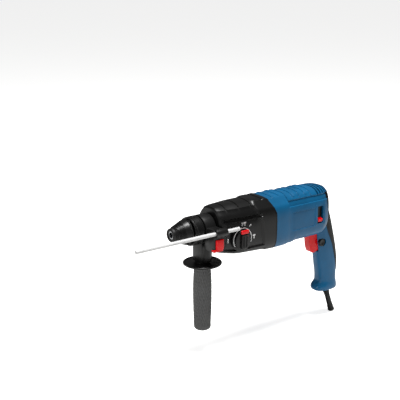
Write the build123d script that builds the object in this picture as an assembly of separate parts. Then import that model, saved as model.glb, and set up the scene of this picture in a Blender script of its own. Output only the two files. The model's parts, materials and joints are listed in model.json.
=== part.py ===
from build123d import *
import math
import os

# Rotary hammer. Millimetres. The origin is the mouth of the tool socket, +X runs back along the
# spindle to the handle, +Z is up, and the mode dial is on the -Y side.

# ---- driving dimensions -------------------------------------------------------------------
RUN = 0.04                 # radial clearance of a shaft or piston in its bore
GAP = 0.4                  # free space between pieces that move past each other
WALL = 3.0                 # wall of the plastic housings

NECK_R, NECK_X0 = 21.5, 57.0           # the 43 mm clamping neck
GEARBOX_X0, GEARBOX_X1 = 80.5, 199.0   # gear housing, front shoulder and rear joint
STEP_X, REAR_X = 233.0, 320.0          # the motor housing's step, and where its rear rounds off
BODY_X1 = 352.0                        # rear end of the motor housing
TOP_Z = 40.0

SOCKET_R, SOCKET_DEPTH = 5.05, 60.0    # bore for a 10 mm slotted-drive shank
TUBE_R, TUBE_BORE = 14.0, 12.0         # hammer tube, the rear of the spindle
TUBE_X0, TUBE_X1 = 80.0, 148.0
HOLDER_R = 9.5                         # spindle's nose, inside the chuck
JOURNAL_R, BEARING_R = 12.0, 19.0      # front spindle journal and its bearing

SHAFT_Z, SHAFT_R = -31.25, 5.0         # intermediate shaft
MOTOR_Z, MOTOR_SHAFT_R = -11.75, 4.0   # motor axis
DRIVE_MODULE, DRIVE_TEETH = 1.25, (12, 38)   # shaft pinion and spindle gear
MOTOR_MODULE, MOTOR_TEETH = 1.0, (10, 29)    # motor pinion and shaft gear
DRIVE_X, MOTOR_GEAR_X, GEAR_WIDTH = 98.0, 176.0, 7.0

WOBBLE_X, WOBBLE_TILT = 160.0, 13.0    # swash bearing on the shaft and its angle
PISTON_LENGTH, PISTON_BORE = 48.0, 9.0
PIN_R, FINGER_R = 6.0, 3.0

STATOR_R, ROTOR_R = 30.0, 17.0
STACK_X0, STACK_LENGTH = 216.0, 46.0

DIAL_X, DIAL_Z, DIAL_R = 124.8, -20.2, 17.0
ROD_Y, ROD_Z, ROD_R = -42.5, 1.5, 3.3
ROD_X0, ROD_LENGTH = -95.3, 210.0
GRIP_X, FLANGE_R, FLANGE_Z, GRIP_BOTTOM = 67.4, 34.0, -60.6, -187.0
TRIGGER_WIDTH = 17.0
LOCK_X, LOCK_Z, LOCK_R = 337.6, -75.0, 7.6
LOCK_Y0, LOCK_Y1, LOCK_TRAVEL = -15.6, -11.8, 2.5   # nearly flush with the handle's side
BOOT_TILT, CABLE_R = 20.3, 4.0
BOOT_X, BOOT_Z = 362.5, -172.0

PIECES = {}


# ---- helpers ------------------------------------------------------------------------------
def rod(radius, x0, x1, y=0.0, z=0.0):
    """A round bar along X."""
    bar = Cylinder(radius, x1 - x0, align=(Align.CENTER, Align.CENTER, Align.MIN))
    return Pos(x0, y, z) * Rot(0, 90, 0) * bar


def tube(outer, inner, x0, x1, y=0.0, z=0.0):
    return rod(outer, x0, x1, y, z) - rod(inner, x0 - 1, x1 + 1, y, z)


def rod_y(radius, y0, y1, x, z):
    """A round bar along Y."""
    bar = Cylinder(radius, y1 - y0, align=(Align.CENTER, Align.CENTER, Align.MIN))
    return Pos(x, y0, z) * Rot(-90, 0, 0) * bar


def rod_z(radius, z0, z1, x, y=0.0):
    bar = Cylinder(radius, z1 - z0, align=(Align.CENTER, Align.CENTER, Align.MIN))
    return Pos(x, y, z0) * bar


def block(x0, x1, y0, y1, z0, z1):
    box = Box(x1 - x0, y1 - y0, z1 - z0)
    return Pos((x0 + x1) / 2, (y0 + y1) / 2, (z0 + z1) / 2) * box


def turned(*points):
    """A turned piece about the spindle axis, from (x, radius) corners."""
    face = make_face(Polyline(*[(x, 0, r) for x, r in points], close=True))
    return revolve(face, Axis.X)


def turned_z(x, *points):
    """A turned piece about a vertical axis at x, from (radius, z) corners."""
    face = make_face(Polyline(*[(r, 0, z) for r, z in points], close=True))
    return Pos(x, 0, 0) * revolve(face, Axis.Z)


def ring_of(count, piece, axis_z=0.0):
    """Copies of a piece round an axis along X."""
    return [Pos(0, 0, axis_z) * Rot(360 / count * i, 0, 0) * Pos(0, 0, -axis_z) * piece
            for i in range(count)]


def joined(pieces):
    """Separate solids kept together in one node."""
    solids = []
    for piece in pieces:
        solids += piece.solids()
    return Compound(children=solids)


def keep(name, shape):
    PIECES[name] = shape


# ---- sections of the housings -------------------------------------------------------------
# Each station: x, half width, top, bottom, widest level, roundness above and below it.
GEARBOX_STATIONS = [
    (81.5, 30.0, 35.4, -42.5, 4.0, 2.3, 2.8),
    (92.0, 33.5, 37.6, -46.5, 0.0, 2.35, 3.1),
    (125.0, 38.6, 39.3, -52.0, -10.0, 2.5, 4.2),
    (160.0, 39.2, 39.6, -54.0, -11.0, 2.5, 4.2),
    (GEARBOX_X1, 40.0, TOP_Z, -58.0, -12.0, 2.6, 4.0),
]
FRONT_STATIONS = [
    (GEARBOX_X1, 40.0, TOP_Z, -58.0, -12.0, 2.6, 4.0),
    (STEP_X, 39.5, TOP_Z, -57.5, -12.0, 2.7, 4.0),
]
MOTOR_STATIONS = [
    (STEP_X, 36.5, TOP_Z - 0.2, -56.0, -12.0, 3.2, 3.8),
    (REAR_X, 35.4, TOP_Z - 0.4, -54.8, -12.0, 3.2, 3.6),
]
REAR_STATIONS = [
    (REAR_X, 35.4, TOP_Z - 0.4, -54.8, -12.0, 3.2, 3.6),
    (332.0, 32.6, 38.8, -53.0, -11.0, 3.0, 3.3),
    (341.0, 28.5, 36.0, -49.5, -9.5, 2.7, 3.0),
    (348.0, 22.5, 32.0, -44.5, -7.5, 2.5, 2.6),
    (BODY_X1, 15.0, 26.5, -37.0, -5.0, 2.3, 2.3),
]
# Handle stations: z, front, rear, half width.
HANDLE_STATIONS = [
    (12.0, 318.0, 350.5, 17.0),
    (-17.0, 320.5, 359.0, 17.5),
    (-50.0, 325.5, 368.0, 17.5),
    (-90.0, 331.8, 378.5, 17.5),
    (-120.0, 336.8, 383.0, 17.5),
    (-150.0, 341.2, 382.5, 17.0),
]
FOOT_STATIONS = [
    (-150.0, 341.2, 382.5, 17.0),
    (-160.0, 340.0, 383.5, 17.5),
    (-167.0, 332.5, 385.0, 18.5),
    (-173.5, 334.0, 385.5, 17.5),
]
# The edge of the rear cover on the side of the handle, (x, z) from the top down.
COVER_EDGE = [(336, 27), (331, 14), (333.5, 0), (341, -34), (349, -56), (362, -83), (369, -107),
              (375.5, -133), (386, -144)]


def superellipse(theta, half_width, up, down, above, below):
    rise, power = (up, above) if math.sin(theta) >= 0 else (down, below)
    c, s = math.cos(theta), math.sin(theta)
    y = half_width * math.copysign(abs(c) ** (2 / power), c)
    return y, rise * math.copysign(abs(s) ** (2 / power), s)


def cross_section(station, inset=0.0, samples=20):
    """A housing section, across X."""
    x, half_width, top, bottom, level, above, below = station
    points = []
    for i in range(samples):
        theta = 2 * math.pi * (i + 0.5) / samples
        y, z = superellipse(theta, half_width - inset, top - level - inset,
                            level - bottom - inset, above, below)
        points.append((x, y, level + z))
    return make_face(Spline(*points, periodic=True))


def body(stations, inset=0.0):
    return loft([cross_section(s, inset) for s in stations])


def handle_section(station, inset=0.0, samples=16, power=2.6):
    z, front, rear, half_width = station
    points = []
    for i in range(samples):
        theta = 2 * math.pi * (i + 0.5) / samples
        half = (rear - front) / 2 - inset
        x, y = superellipse(theta, half, half_width - inset, half_width - inset, power, power)
        points.append(((front + rear) / 2 + x, y, z))
    return make_face(Spline(*points, periodic=True))


def handle_bar(stations, inset=0.0):
    return loft([handle_section(s, inset) for s in stations])


def at_x(station, x):
    return (x,) + tuple(station[1:])


# ---- gears --------------------------------------------------------------------------------
def gear(teeth, module, x0, x1, z, turn, bore, addendum=0.85, play=0.16):
    """A spur gear about an axis along X, a tooth centred on the turn angle from +Z."""
    pitch = teeth * module / 2
    base = pitch * math.cos(math.radians(25))
    root, tip = pitch - 1.1 * module, pitch + addendum * module
    involute = lambda a: math.tan(a) - a
    half_pitch = math.pi / (2 * teeth) - play / (2 * pitch)
    half_base = half_pitch + involute(math.acos(base / pitch))
    points = []
    for tooth in range(teeth):
        middle = math.radians(turn) + 2 * math.pi * tooth / teeth
        flank = [(root, half_base)] if root < base else []
        low = max(root, base)
        for k in range(4):
            r = low + (tip - low) * k / 3
            flank.append((r, half_base - involute(math.acos(min(1.0, base / r)))))
        outline = [(r, -a) for r, a in flank] + [(r, a) for r, a in reversed(flank)]
        points += [(x0, r * math.sin(middle + a), z + r * math.cos(middle + a))
                   for r, a in outline]
    blank = extrude(make_face(Polyline(*points, close=True)), amount=x1 - x0, dir=(1, 0, 0))
    return blank - rod(bore, x0 - 1, x1 + 1, 0, z) if bore else blank


def coil(radius, wire, x0, x1, turns):
    """A compression spring about the spindle axis."""
    length = x1 - x0 - 2 * wire
    path = Helix(pitch=length / turns, height=length, radius=radius)
    start = Plane(origin=path @ 0, z_dir=path % 0)
    return Pos(x0 + wire, 0, 0) * Rot(0, 90, 0) * sweep(start * Circle(wire), path=path)


# ---- housings -----------------------------------------------------------------------------
SCREWS = [(-27.0, 22.0), (27.0, 22.0), (-31.0, -44.0), (31.0, -44.0)]
SCREW_R, SCREW_HEAD_R, SCREW_X0, SCREW_X1 = 2.1, 4.0, 168.0, 224.0
WEB_X0, WEB_X1, BUSH_X1, BUSH_R = 126.0, 130.0, 136.0, 17.0
FLANGE_X0, FLANGE_X1 = 185.5, 195.0
MOTOR_BEARING_R, SHAFT_BEARING_R = 9.5, 8.0


def gearbox_cavity(inset):
    hollow = [at_x(GEARBOX_STATIONS[0], GEARBOX_X0 + WALL + 2)] + GEARBOX_STATIONS[1:-1]
    hollow.append(at_x(GEARBOX_STATIONS[-1], GEARBOX_X1 + 1))
    return body(hollow, inset)


def gear_housing():
    outside = body(GEARBOX_STATIONS)
    cavity = gearbox_cavity(WALL)
    posts = rod(SHAFT_BEARING_R + 2.5, 84, 93, 0, SHAFT_Z)
    for y, z in SCREWS:
        posts += rod(SCREW_HEAD_R + 1.5, SCREW_X0 + 3, GEARBOX_X1, y, z)
    cavity -= block(WEB_X0, WEB_X1, -60, 60, -80, 80)
    cavity -= rod(BUSH_R + 3, WEB_X0, BUSH_X1) + posts
    shell = outside - cavity
    shell += rod_y(DIAL_R + 4, -39.0, -30, DIAL_X, DIAL_Z)
    # bores
    shell -= rod(TUBE_R + 1, GEARBOX_X0 - 1, GEARBOX_X0 + WALL + 4)
    shell -= rod(BUSH_R, WEB_X0 - 1, BUSH_X1 + 1)
    shell -= rod(SHAFT_R + 5, WEB_X0 - 1, WEB_X1 + 1, 0, SHAFT_Z)
    shell -= rod(SHAFT_BEARING_R, 87, 94, 0, SHAFT_Z)
    shell -= rod_y(8 + RUN, -41, -20, DIAL_X, DIAL_Z)
    shell -= rod_y(DIAL_R + GAP, -45, -39.1, DIAL_X, DIAL_Z)
    # room for the depth rod, along the side and where it swings over the crown
    shell -= rod(ROD_R + GAP, GEARBOX_X0, SCREW_X0, ROD_Y, ROD_Z)
    swing = -ROD_Y - ROD_R - GAP
    rod_end = ROD_X0 + ROD_LENGTH + 2
    shell -= tube(60, swing, GEARBOX_X0, rod_end) & block(GEARBOX_X0, rod_end, -60, 60, -4, 60)
    shell -= block(112, 152, -34.5, -21, -37, -5)
    for y, z in SCREWS:
        shell -= rod(SCREW_R, SCREW_X0 - 1, GEARBOX_X1 + 1, y, z)
        shell -= rod(SCREW_HEAD_R, SCREW_X0 - 9, SCREW_X0 + 3, y, z)
    return shell


def clamping_neck():
    neck = tube(NECK_R, JOURNAL_R + 2, NECK_X0, GEARBOX_STATIONS[0][0])
    return neck - rod(BEARING_R, NECK_X0 + 3, 78)


def handle_region():
    """Everything behind the edge of the rear cover."""
    behind = BODY_X1 + 60
    corners = COVER_EDGE + [(behind, COVER_EDGE[-1][1]), (behind, COVER_EDGE[0][1])]
    face = make_face(Polyline(*[(x, 0, z) for x, z in corners], close=True))
    return extrude(face, amount=60, dir=(0, 1, 0), both=True)


def handle_shells():
    """The motor housing with the front of the handle, and the rear cover."""
    outside = body(FRONT_STATIONS) + body(MOTOR_STATIONS) + body(REAR_STATIONS)
    outside += handle_bar(HANDLE_STATIONS) + handle_bar(FOOT_STATIONS)
    inner_step = [at_x(FRONT_STATIONS[0], GEARBOX_X1 - 1), FRONT_STATIONS[1]]
    inner_motor = [at_x(MOTOR_STATIONS[0], STEP_X - 2), MOTOR_STATIONS[1]]
    cavity = body(inner_step, WALL) + body(inner_motor, WALL) + body(REAR_STATIONS[:-1], WALL)
    cavity += handle_bar(HANDLE_STATIONS, WALL)
    cavity += handle_bar([FOOT_STATIONS[0], FOOT_STATIONS[1]], WALL)
    region = handle_region()
    cover = (outside & region) - cavity
    front = outside - region - cavity
    return front, cover


def motor_housing(front):
    shell = front
    for y, z in SCREWS:
        post = rod(SCREW_HEAD_R + 1.5, GEARBOX_X1, SCREW_X1, y, z) & body(FRONT_STATIONS)
        shell += post
        shell -= rod(SCREW_R, GEARBOX_X1 - 1, SCREW_X1 - 2, y, z)
    # trigger opening, lock button bore, direction lever slot, vents and boot seat
    shell -= block(322, 343, -TRIGGER_WIDTH / 2 - GAP, TRIGGER_WIDTH / 2 + GAP, -94, -50)
    shell -= rod_y(LOCK_R + GAP, -24, -TRIGGER_WIDTH / 2, LOCK_X, LOCK_Z)
    shell -= block(304, 318, -40, -25, -27, 6)
    for i in range(5):
        shell -= Pos(316 + 6.2 * i, 0, 41 - i) * Rot(0, 12, 0) * Box(2.2, 44 - 4 * i, 18)
    shell -= boot_place() * Cylinder(6.5 + GAP / 4, 24)
    return shell


def flange():
    plate = gearbox_cavity(WALL + 0.15) & block(FLANGE_X0, FLANGE_X1, -60, 60, -80, 80)
    plate -= rod(MOTOR_BEARING_R, FLANGE_X0 + 2, FLANGE_X1 + 1, 0, MOTOR_Z)
    plate -= rod(MOTOR_SHAFT_R + 3, FLANGE_X0 - 1, FLANGE_X1 + 1, 0, MOTOR_Z)
    plate -= rod(SHAFT_BEARING_R, FLANGE_X0 - 1, FLANGE_X1 - 2, 0, SHAFT_Z)
    for y, z in SCREWS:
        plate -= rod(SCREW_HEAD_R + 1.6, FLANGE_X0 - 1, FLANGE_X1 + 1, y, z)
    return plate


def boot_place():
    return Pos(BOOT_X, 0, BOOT_Z) * Rot(0, 180 - BOOT_TILT, 0)


# ---- spindle, chuck and hammer ------------------------------------------------------------
SLEEVE_X0, SLEEVE_X1, SLEEVE_TRAVEL = 8.0, 33.5, 8.0
RING_X0, RING_X1, RING_R, RING_SEAT_R = 36.0, 55.0, 25.2, 20.0
BALL_X, BALL_R, BALL_Y = 24.0, 3.5, 7.0
BOLT_R, BOLT_X0, BOLT_X1, BOLT_TRAVEL = 7.0, 64.0, 103.0, 4.0
BOLT_STOP = BOLT_X0 - BOLT_TRAVEL
TUBE_STEP_X = 104.0
PISTON_X0 = WOBBLE_X + 6.5 - PISTON_LENGTH
STRIKER_X0, STRIKER_LENGTH = PISTON_X0 + 4, 20.0
CUP_DEPTH = 28.0


def spindle():
    bar = turned((2, 0), (2, HOLDER_R), (56, HOLDER_R), (56, JOURNAL_R), (TUBE_X0, JOURNAL_R),
                 (TUBE_X0, TUBE_R), (TUBE_X1, TUBE_R), (TUBE_X1, 0))
    bar -= rod(SOCKET_R, 1, SOCKET_DEPTH + 1)
    bar -= rod(BOLT_R + RUN, BOLT_STOP, TUBE_STEP_X + 1)
    bar -= rod(TUBE_BORE, TUBE_STEP_X, TUBE_X1 + 1)
    for side in (-1, 1):
        key = block(8, 44, -1.0, 1.0, 3.9, SOCKET_R + 1)
        bar += Rot(90 + 90 * side, 0, 0) * key
    return bar - rod_y(BALL_R + 0.02, -12, 12, BALL_X, 0)


def chuck_body():
    core = turned((8, HOLDER_R), (8, 12.4), (34, 12.4), (34, 15.8), (44.5, 15.8),
                  (44.5, RING_SEAT_R), (55, RING_SEAT_R), (55, HOLDER_R))
    pocket = rod_y(BALL_R + 0.02, -BALL_Y - BALL_R, BALL_Y + BALL_R, BALL_X, 0)
    return core - pocket


def locking_balls():
    return joined([Pos(BALL_X, side * BALL_Y, 0) * Sphere(BALL_R) for side in (-1, 1)])


def sds_sleeve():
    return turned((SLEEVE_X0, 12.7), (SLEEVE_X0, 14.2), (12, 15.4), (20, 18.5), (28, 21.6),
                  (SLEEVE_X1 - 2, 22.5), (SLEEVE_X1, 22.5), (SLEEVE_X1, 16.2), (14, 16.2),
                  (14, 12.7))


def quick_change_ring():
    front_bore = 22.5 + GAP
    return turned((RING_X0, front_bore), (RING_X0, RING_R - 0.8), (RING_X0 + 1, RING_R),
                  (RING_X1 - 1, RING_R), (RING_X1, RING_R - 0.8), (RING_X1, RING_SEAT_R + RUN),
                  (45, RING_SEAT_R + RUN), (45, front_bore))


def dust_cap():
    return turned((0, SOCKET_R), (0, 10.6), (1, 11.8), (5, 12.2), (5.6, 11.6), (6.4, 11.6),
                  (7.4, 13.4), (7.6, HOLDER_R), (2, HOLDER_R), (2, SOCKET_R))


def piston():
    x1 = PISTON_X0 + PISTON_LENGTH
    bar = rod(TUBE_BORE - RUN, PISTON_X0, x1)
    bar -= rod(PISTON_BORE + RUN, PISTON_X0 - 1, PISTON_X0 + CUP_DEPTH)
    bar -= rod_y(PIN_R + RUN, -20, 20, WOBBLE_X, 0)
    slot = math.tan(math.radians(WOBBLE_TILT)) * TUBE_BORE + FINGER_R + 1.2
    return bar - block(WOBBLE_X - slot, x1 + 1, -4.2, 4.2, -TUBE_BORE - 1, TUBE_BORE + 1)


def piston_pin():
    pin = rod_y(PIN_R, -9.9, 9.9, WOBBLE_X, 0)
    return pin - rod_z(FINGER_R + 0.1, -8, 8, WOBBLE_X)


def wobble_ring():
    centre = Pos(WOBBLE_X, 0, SHAFT_Z)
    ring = rod(16.2, WOBBLE_X - 5.5, WOBBLE_X + 5.5, 0, SHAFT_Z) - centre * Sphere(13.5)
    finger = rod_z(FINGER_R, SHAFT_Z + 14.5, PIN_R + 2, WOBBLE_X)
    finger += rod_z(4.0, SHAFT_Z + 14.5, -TUBE_BORE - 1.5, WOBBLE_X)
    return ring + finger


def wobble_hub():
    hub = Pos(WOBBLE_X, 0, SHAFT_Z) * Sphere(11.4)
    hub = hub & rod(12, WOBBLE_X - 8, WOBBLE_X + 8, 0, SHAFT_Z)
    groove = Pos(WOBBLE_X, 0, SHAFT_Z) * Rot(0, 90 + WOBBLE_TILT, 0) * Torus(11.0, 2.25)
    return hub - groove - rod(SHAFT_R, WOBBLE_X - 9, WOBBLE_X + 9, 0, SHAFT_Z)


def wobble_balls(count=9):
    place = Pos(WOBBLE_X, 0, SHAFT_Z) * Rot(0, 90 + WOBBLE_TILT, 0)
    return joined([place * Rot(0, 0, 360 / count * i) * Pos(11.0, 0, 0) * Sphere(2.2)
                   for i in range(count)])


# ---- motor --------------------------------------------------------------------------------
BRUSH_X, COMMUTATOR_R = 278.0, 10.0
REAR_BEARING_X0, REAR_BEARING_X1 = 292.0, 298.0
LEVER_X0, LEVER_X1, LEVER_TILT = 306.0, 316.0, 15.0


def fan():
    disc = tube(27.0, MOTOR_SHAFT_R, 203, 204.6, 0, MOTOR_Z)
    disc += tube(8.0, MOTOR_SHAFT_R, 203, 211, 0, MOTOR_Z)
    blade = block(204, 210.5, -0.8, 0.8, MOTOR_Z + 7, MOTOR_Z + 26.5)
    for piece in ring_of(11, blade, MOTOR_Z):
        disc += piece
    return disc


def lamination():
    x1 = STACK_X0 + STACK_LENGTH
    stack = tube(ROTOR_R, MOTOR_SHAFT_R, STACK_X0, x1, 0, MOTOR_Z)
    slot = block(STACK_X0 - 1, x1 + 1, -1.2, 1.2, MOTOR_Z + 10, MOTOR_Z + ROTOR_R + 1)
    for piece in ring_of(12, slot, MOTOR_Z):
        stack -= piece
    return stack


def stator():
    x0, x1 = STACK_X0 - 1, STACK_X0 + STACK_LENGTH + 1
    pack = tube(STATOR_R, ROTOR_R + 0.6, x0, x1, 0, MOTOR_Z)
    for side in (-1, 1):
        window = block(x0 - 1, x1 + 1, -14, 14, 18, 25.5)
        pack -= Pos(0, 0, MOTOR_Z) * Rot(90 + 90 * side, 0, 0) * window
    return pack


def field_coils():
    x0, x1 = STACK_X0 - 4, STACK_X0 + STACK_LENGTH + 4
    coils = []
    for side in (-1, 1):
        bar = block(x0, x1, -13.5, 13.5, 18.6, 25.2)
        coils.append(Pos(0, 0, MOTOR_Z) * Rot(90 + 90 * side, 0, 0) * bar)
    return joined(coils)


def bearing_bracket():
    """The plate that holds the motor's rear bearing."""
    station = at_x(MOTOR_STATIONS[1], REAR_BEARING_X0 - 2)
    plate = extrude(cross_section(station, WALL + 0.8), amount=4, dir=(1, 0, 0))
    plate += rod(MOTOR_BEARING_R + 3, REAR_BEARING_X0 - 2, REAR_BEARING_X1 + 2, 0, MOTOR_Z)
    plate -= rod(MOTOR_BEARING_R, REAR_BEARING_X0, REAR_BEARING_X1 + 3, 0, MOTOR_Z)
    plate -= rod(MOTOR_SHAFT_R + 2, REAR_BEARING_X0 - 3, REAR_BEARING_X0 + 1, 0, MOTOR_Z)
    for side in (-1, 1):
        plate -= block(285, 299, side * 24 - 6, side * 24 + 6, MOTOR_Z - 22, MOTOR_Z + 22)
    return plate


def brush_ring():
    """The turning ring with the brushes, which sits on the bearing bracket's boss."""
    inner = MOTOR_BEARING_R + 3 + RUN
    ring = tube(22.0, inner, REAR_BEARING_X0 + 2.4, REAR_BEARING_X0 + 5, 0, MOTOR_Z)
    return ring


def brush_holders():
    pair = []
    for side in (-1, 1):
        box = block(BRUSH_X - 5, REAR_BEARING_X0 - 2.4, side * 17.5 - 5.5, side * 17.5 + 5.5,
                    MOTOR_Z - 5, MOTOR_Z + 5)
        hole = block(BRUSH_X - 3.6, BRUSH_X + 3.6, -30, 30, MOTOR_Z - 3.1, MOTOR_Z + 3.1)
        pair.append(box - hole)
    return joined(pair)


def carbon_brushes():
    pair = []
    for side in (-1, 1):
        y0, y1 = sorted((side * (COMMUTATOR_R - 2), side * 22.0))
        bar = block(BRUSH_X - 3.5, BRUSH_X + 3.5, y0, y1, MOTOR_Z - 3, MOTOR_Z + 3)
        pair.append(bar - rod(COMMUTATOR_R + 0.1, BRUSH_X - 5, BRUSH_X + 5, 0, MOTOR_Z))
    return joined(pair)


def direction_lever():
    """The reversing tab, on an arm from the brush ring, in its lower place."""
    arm = block(REAR_BEARING_X0 + 5, LEVER_X1, -30.0, -19.0, MOTOR_Z - 3, MOTOR_Z + 3)
    arm -= rod(18, REAR_BEARING_X0, LEVER_X1 + 1, 0, MOTOR_Z)
    tab = block(LEVER_X0, LEVER_X1, -36.8, -28.0, MOTOR_Z - 3, MOTOR_Z + 3)
    return Pos(0, 0, MOTOR_Z) * Rot(LEVER_TILT, 0, 0) * Pos(0, 0, -MOTOR_Z) * (arm + tab)


# ---- side handle --------------------------------------------------------------------------
COLLAR_X0, COLLAR_X1, COLLAR_R = NECK_X0 + 0.6, 78.4, 25.4
STRAP_X0, STRAP_X1, STRAP_R = 62.0, 74.0, 22.4
BUTTON_X0, BUTTON_X1, BUTTON_Z0, BUTTON_Z1, BUTTON_Y = 63.0, 79.0, -27.0, -9.0, -46.5
CLAMP_R, BOLT_HEAD_Z = 4.0, -86.0
GEARBOX_CLEAR_R = 38.4     # the rod's guide ends outside this round the housing's shoulder


def handle_collar():
    low = FLANGE_Z + 3.0
    ring = tube(COLLAR_R, 10, COLLAR_X0, COLLAR_X1)
    ring += block(GRIP_X - 11, COLLAR_X1, -13, 13, low, -18)
    ring += rod_z(9.5, low, -24, COLLAR_X1 - 9, -7)
    ring += block(COLLAR_X0 + 2, COLLAR_X1, ROD_Y, -15, -7, 8)
    ring += block(COLLAR_X0 + 2, 80, ROD_Y - 1.5, -18, BUTTON_Z0 - 4, -2)
    guide = rod(7.4, 63, 86, ROD_Y, ROD_Z)
    ring += guide - rod(GEARBOX_CLEAR_R, COLLAR_X1 + 1, 90)
    ring -= rod(NECK_R + RUN, COLLAR_X0 - 1, COLLAR_X1 + 2)
    ring -= rod(STRAP_R, STRAP_X0, STRAP_X1)
    ring -= rod(ROD_R + 0.08, 50, 90, ROD_Y, ROD_Z)
    ring -= block(BUTTON_X0 - GAP, BUTTON_X1 + GAP, BUTTON_Y - 5, -34, BUTTON_Z0 - GAP,
                  BUTTON_Z1 + GAP)
    ring -= rod_z(7.2, -34.2, -20, GRIP_X)
    return ring - rod_z(CLAMP_R + 0.1, low - 1, -20, GRIP_X)


def clamp_strap():
    strap = tube(STRAP_R, NECK_R + RUN, STRAP_X0, STRAP_X1)
    strap += rod_z(7.0, -34, -22, GRIP_X) - rod(NECK_R + 0.5, 50, 90)
    return strap - rod_z(CLAMP_R + 0.06, -36, -20, GRIP_X)


def grip_core():
    z = FLANGE_Z
    return turned_z(GRIP_X, (CLAMP_R, z + 2.7), (13.4, z + 2.7), (13.4, z - 0.4),
                    (FLANGE_R - 2, z - 0.8), (FLANGE_R - 1.2, z + 0.6), (FLANGE_R, z - 0.4),
                    (FLANGE_R, z - 2.6), (FLANGE_R - 2, z - 3.6), (14, z - 3.4), (11, z - 4),
                    (11, GRIP_BOTTOM + 9), (6.1, GRIP_BOTTOM + 9), (6.1, BOLT_HEAD_Z),
                    (CLAMP_R, BOLT_HEAD_Z))


def side_grip():
    z, low = FLANGE_Z - 4, GRIP_BOTTOM
    outer = Spline((14.2, 0, z), (16.2, 0, z - 33), (16.5, 0, z - 60), (15.1, 0, low + 10),
                   (11.5, 0, low + 2), (0, 0, low), tangents=[(0.1, 0, -1), (-1, 0, 0)])
    inside = Polyline((0, 0, low), (0, 0, low + 9), (11, 0, low + 9), (11, 0, z), (14.2, 0, z))
    return Pos(GRIP_X, 0, 0) * revolve(make_face([outer, inside]), Axis.Z)


def clamp_bolt():
    bolt = rod_z(CLAMP_R, BOLT_HEAD_Z - 4, -26, GRIP_X)
    return bolt + rod_z(6, BOLT_HEAD_Z - 4, BOLT_HEAD_Z, GRIP_X)


def depth_rod():
    return rod(ROD_R, ROD_X0, ROD_X0 + ROD_LENGTH, ROD_Y, ROD_Z)


def depth_button():
    button = block(BUTTON_X0, BUTTON_X1, BUTTON_Y, -37.0, BUTTON_Z0, BUTTON_Z1)
    return fillet(button.edges().group_by(Axis.Y)[0], 1.2)


# ---- controls -----------------------------------------------------------------------------
BAR_WIDTH, BAR_Y, DISC_Y = 13.0, -46.5, -42.4
CAP_HALF, CAP_LOW, CAP_TOP, CAP_PRESS = 8.4, 11.0, 17.8, 1.5   # heights above the dial's axis
STEM_HALF, STEM_LOW, STEM_TOP = 3.0, 12.5, 16.0
DIAL_PIN_R, DIAL_PIN_THROW = 1.5, 5.0


def mode_dial():
    dial = rod_y(DIAL_R, DISC_Y, -39.4, DIAL_X, DIAL_Z)
    bar = block(DIAL_X - BAR_WIDTH / 2, DIAL_X + BAR_WIDTH / 2, BAR_Y, DISC_Y + 1,
                DIAL_Z - DIAL_R, DIAL_Z + CAP_LOW - GAP)
    bar = bar & rod_y(DIAL_R, BAR_Y - 1, DISC_Y + 2, DIAL_X, DIAL_Z)
    dial += fillet(bar.edges().group_by(Axis.Y)[0], 1.0)
    dial += rod_y(8, -40, -33.7, DIAL_X, DIAL_Z)
    dial += rod_y(DIAL_PIN_R, -34, -28.5, DIAL_X, DIAL_Z + DIAL_PIN_THROW)
    slot = STEM_HALF + GAP
    return dial - block(DIAL_X - slot, DIAL_X + slot, DISC_Y - 1, -40.2,
                        DIAL_Z + STEM_LOW - GAP, DIAL_Z + STEM_TOP + GAP)


def dial_button():
    back = DISC_Y - GAP - CAP_PRESS
    cap = block(DIAL_X - CAP_HALF, DIAL_X + CAP_HALF, BAR_Y - 0.4, back,
                DIAL_Z + CAP_LOW, DIAL_Z + CAP_TOP)
    cap = fillet(cap.edges().filter_by(Axis.Y), 2.5)
    return cap + block(DIAL_X - STEM_HALF, DIAL_X + STEM_HALF, back - 0.5, -40.6 - CAP_PRESS,
                       DIAL_Z + STEM_LOW, DIAL_Z + STEM_TOP)


def shift_fork():
    slot_half = DIAL_PIN_R + 2.4
    plate = block(118, 141, -33.2, -29.2, DIAL_Z - 11, DIAL_Z + 9)
    plate -= block(DIAL_X - slot_half, DIAL_X + slot_half, -40, -20, DIAL_Z - 7.5, DIAL_Z + 7.5)
    arm = block(137, 140, -29.6, 0, SHAFT_Z - 5.5, SHAFT_Z + 5.5)
    arm -= rod(9.0, 130, 145, 0, SHAFT_Z)
    return plate + arm


def shift_sleeve():
    ring = tube(9.8, SHAFT_R + RUN, 135.5, 141.5, 0, SHAFT_Z)
    return ring - tube(12, 8.4, 136.6, 140.4, 0, SHAFT_Z)


def trigger():
    half = TRIGGER_WIDTH / 2
    front = Spline((311, 0, -57), (312.2, 0, -72), (315.2, 0, -87), (320, 0, -94),
                   (324, 0, -94.2), tangents=[(0, 0, -1), (1, 0, 0.3)])
    back = Polyline((324, 0, -94.2), (337, 0, -90), (337, 0, -57), (311, 0, -57))
    return extrude(make_face([front, back]), amount=half, dir=(0, 1, 0), both=True)


def lock_on_button():
    return rod_y(LOCK_R, LOCK_Y0, LOCK_Y1, LOCK_X, LOCK_Z)


def switch_block():
    half = -LOCK_Y1 - LOCK_TRAVEL - GAP
    return block(343.6, 361, -half, half, -90, -56)


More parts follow.
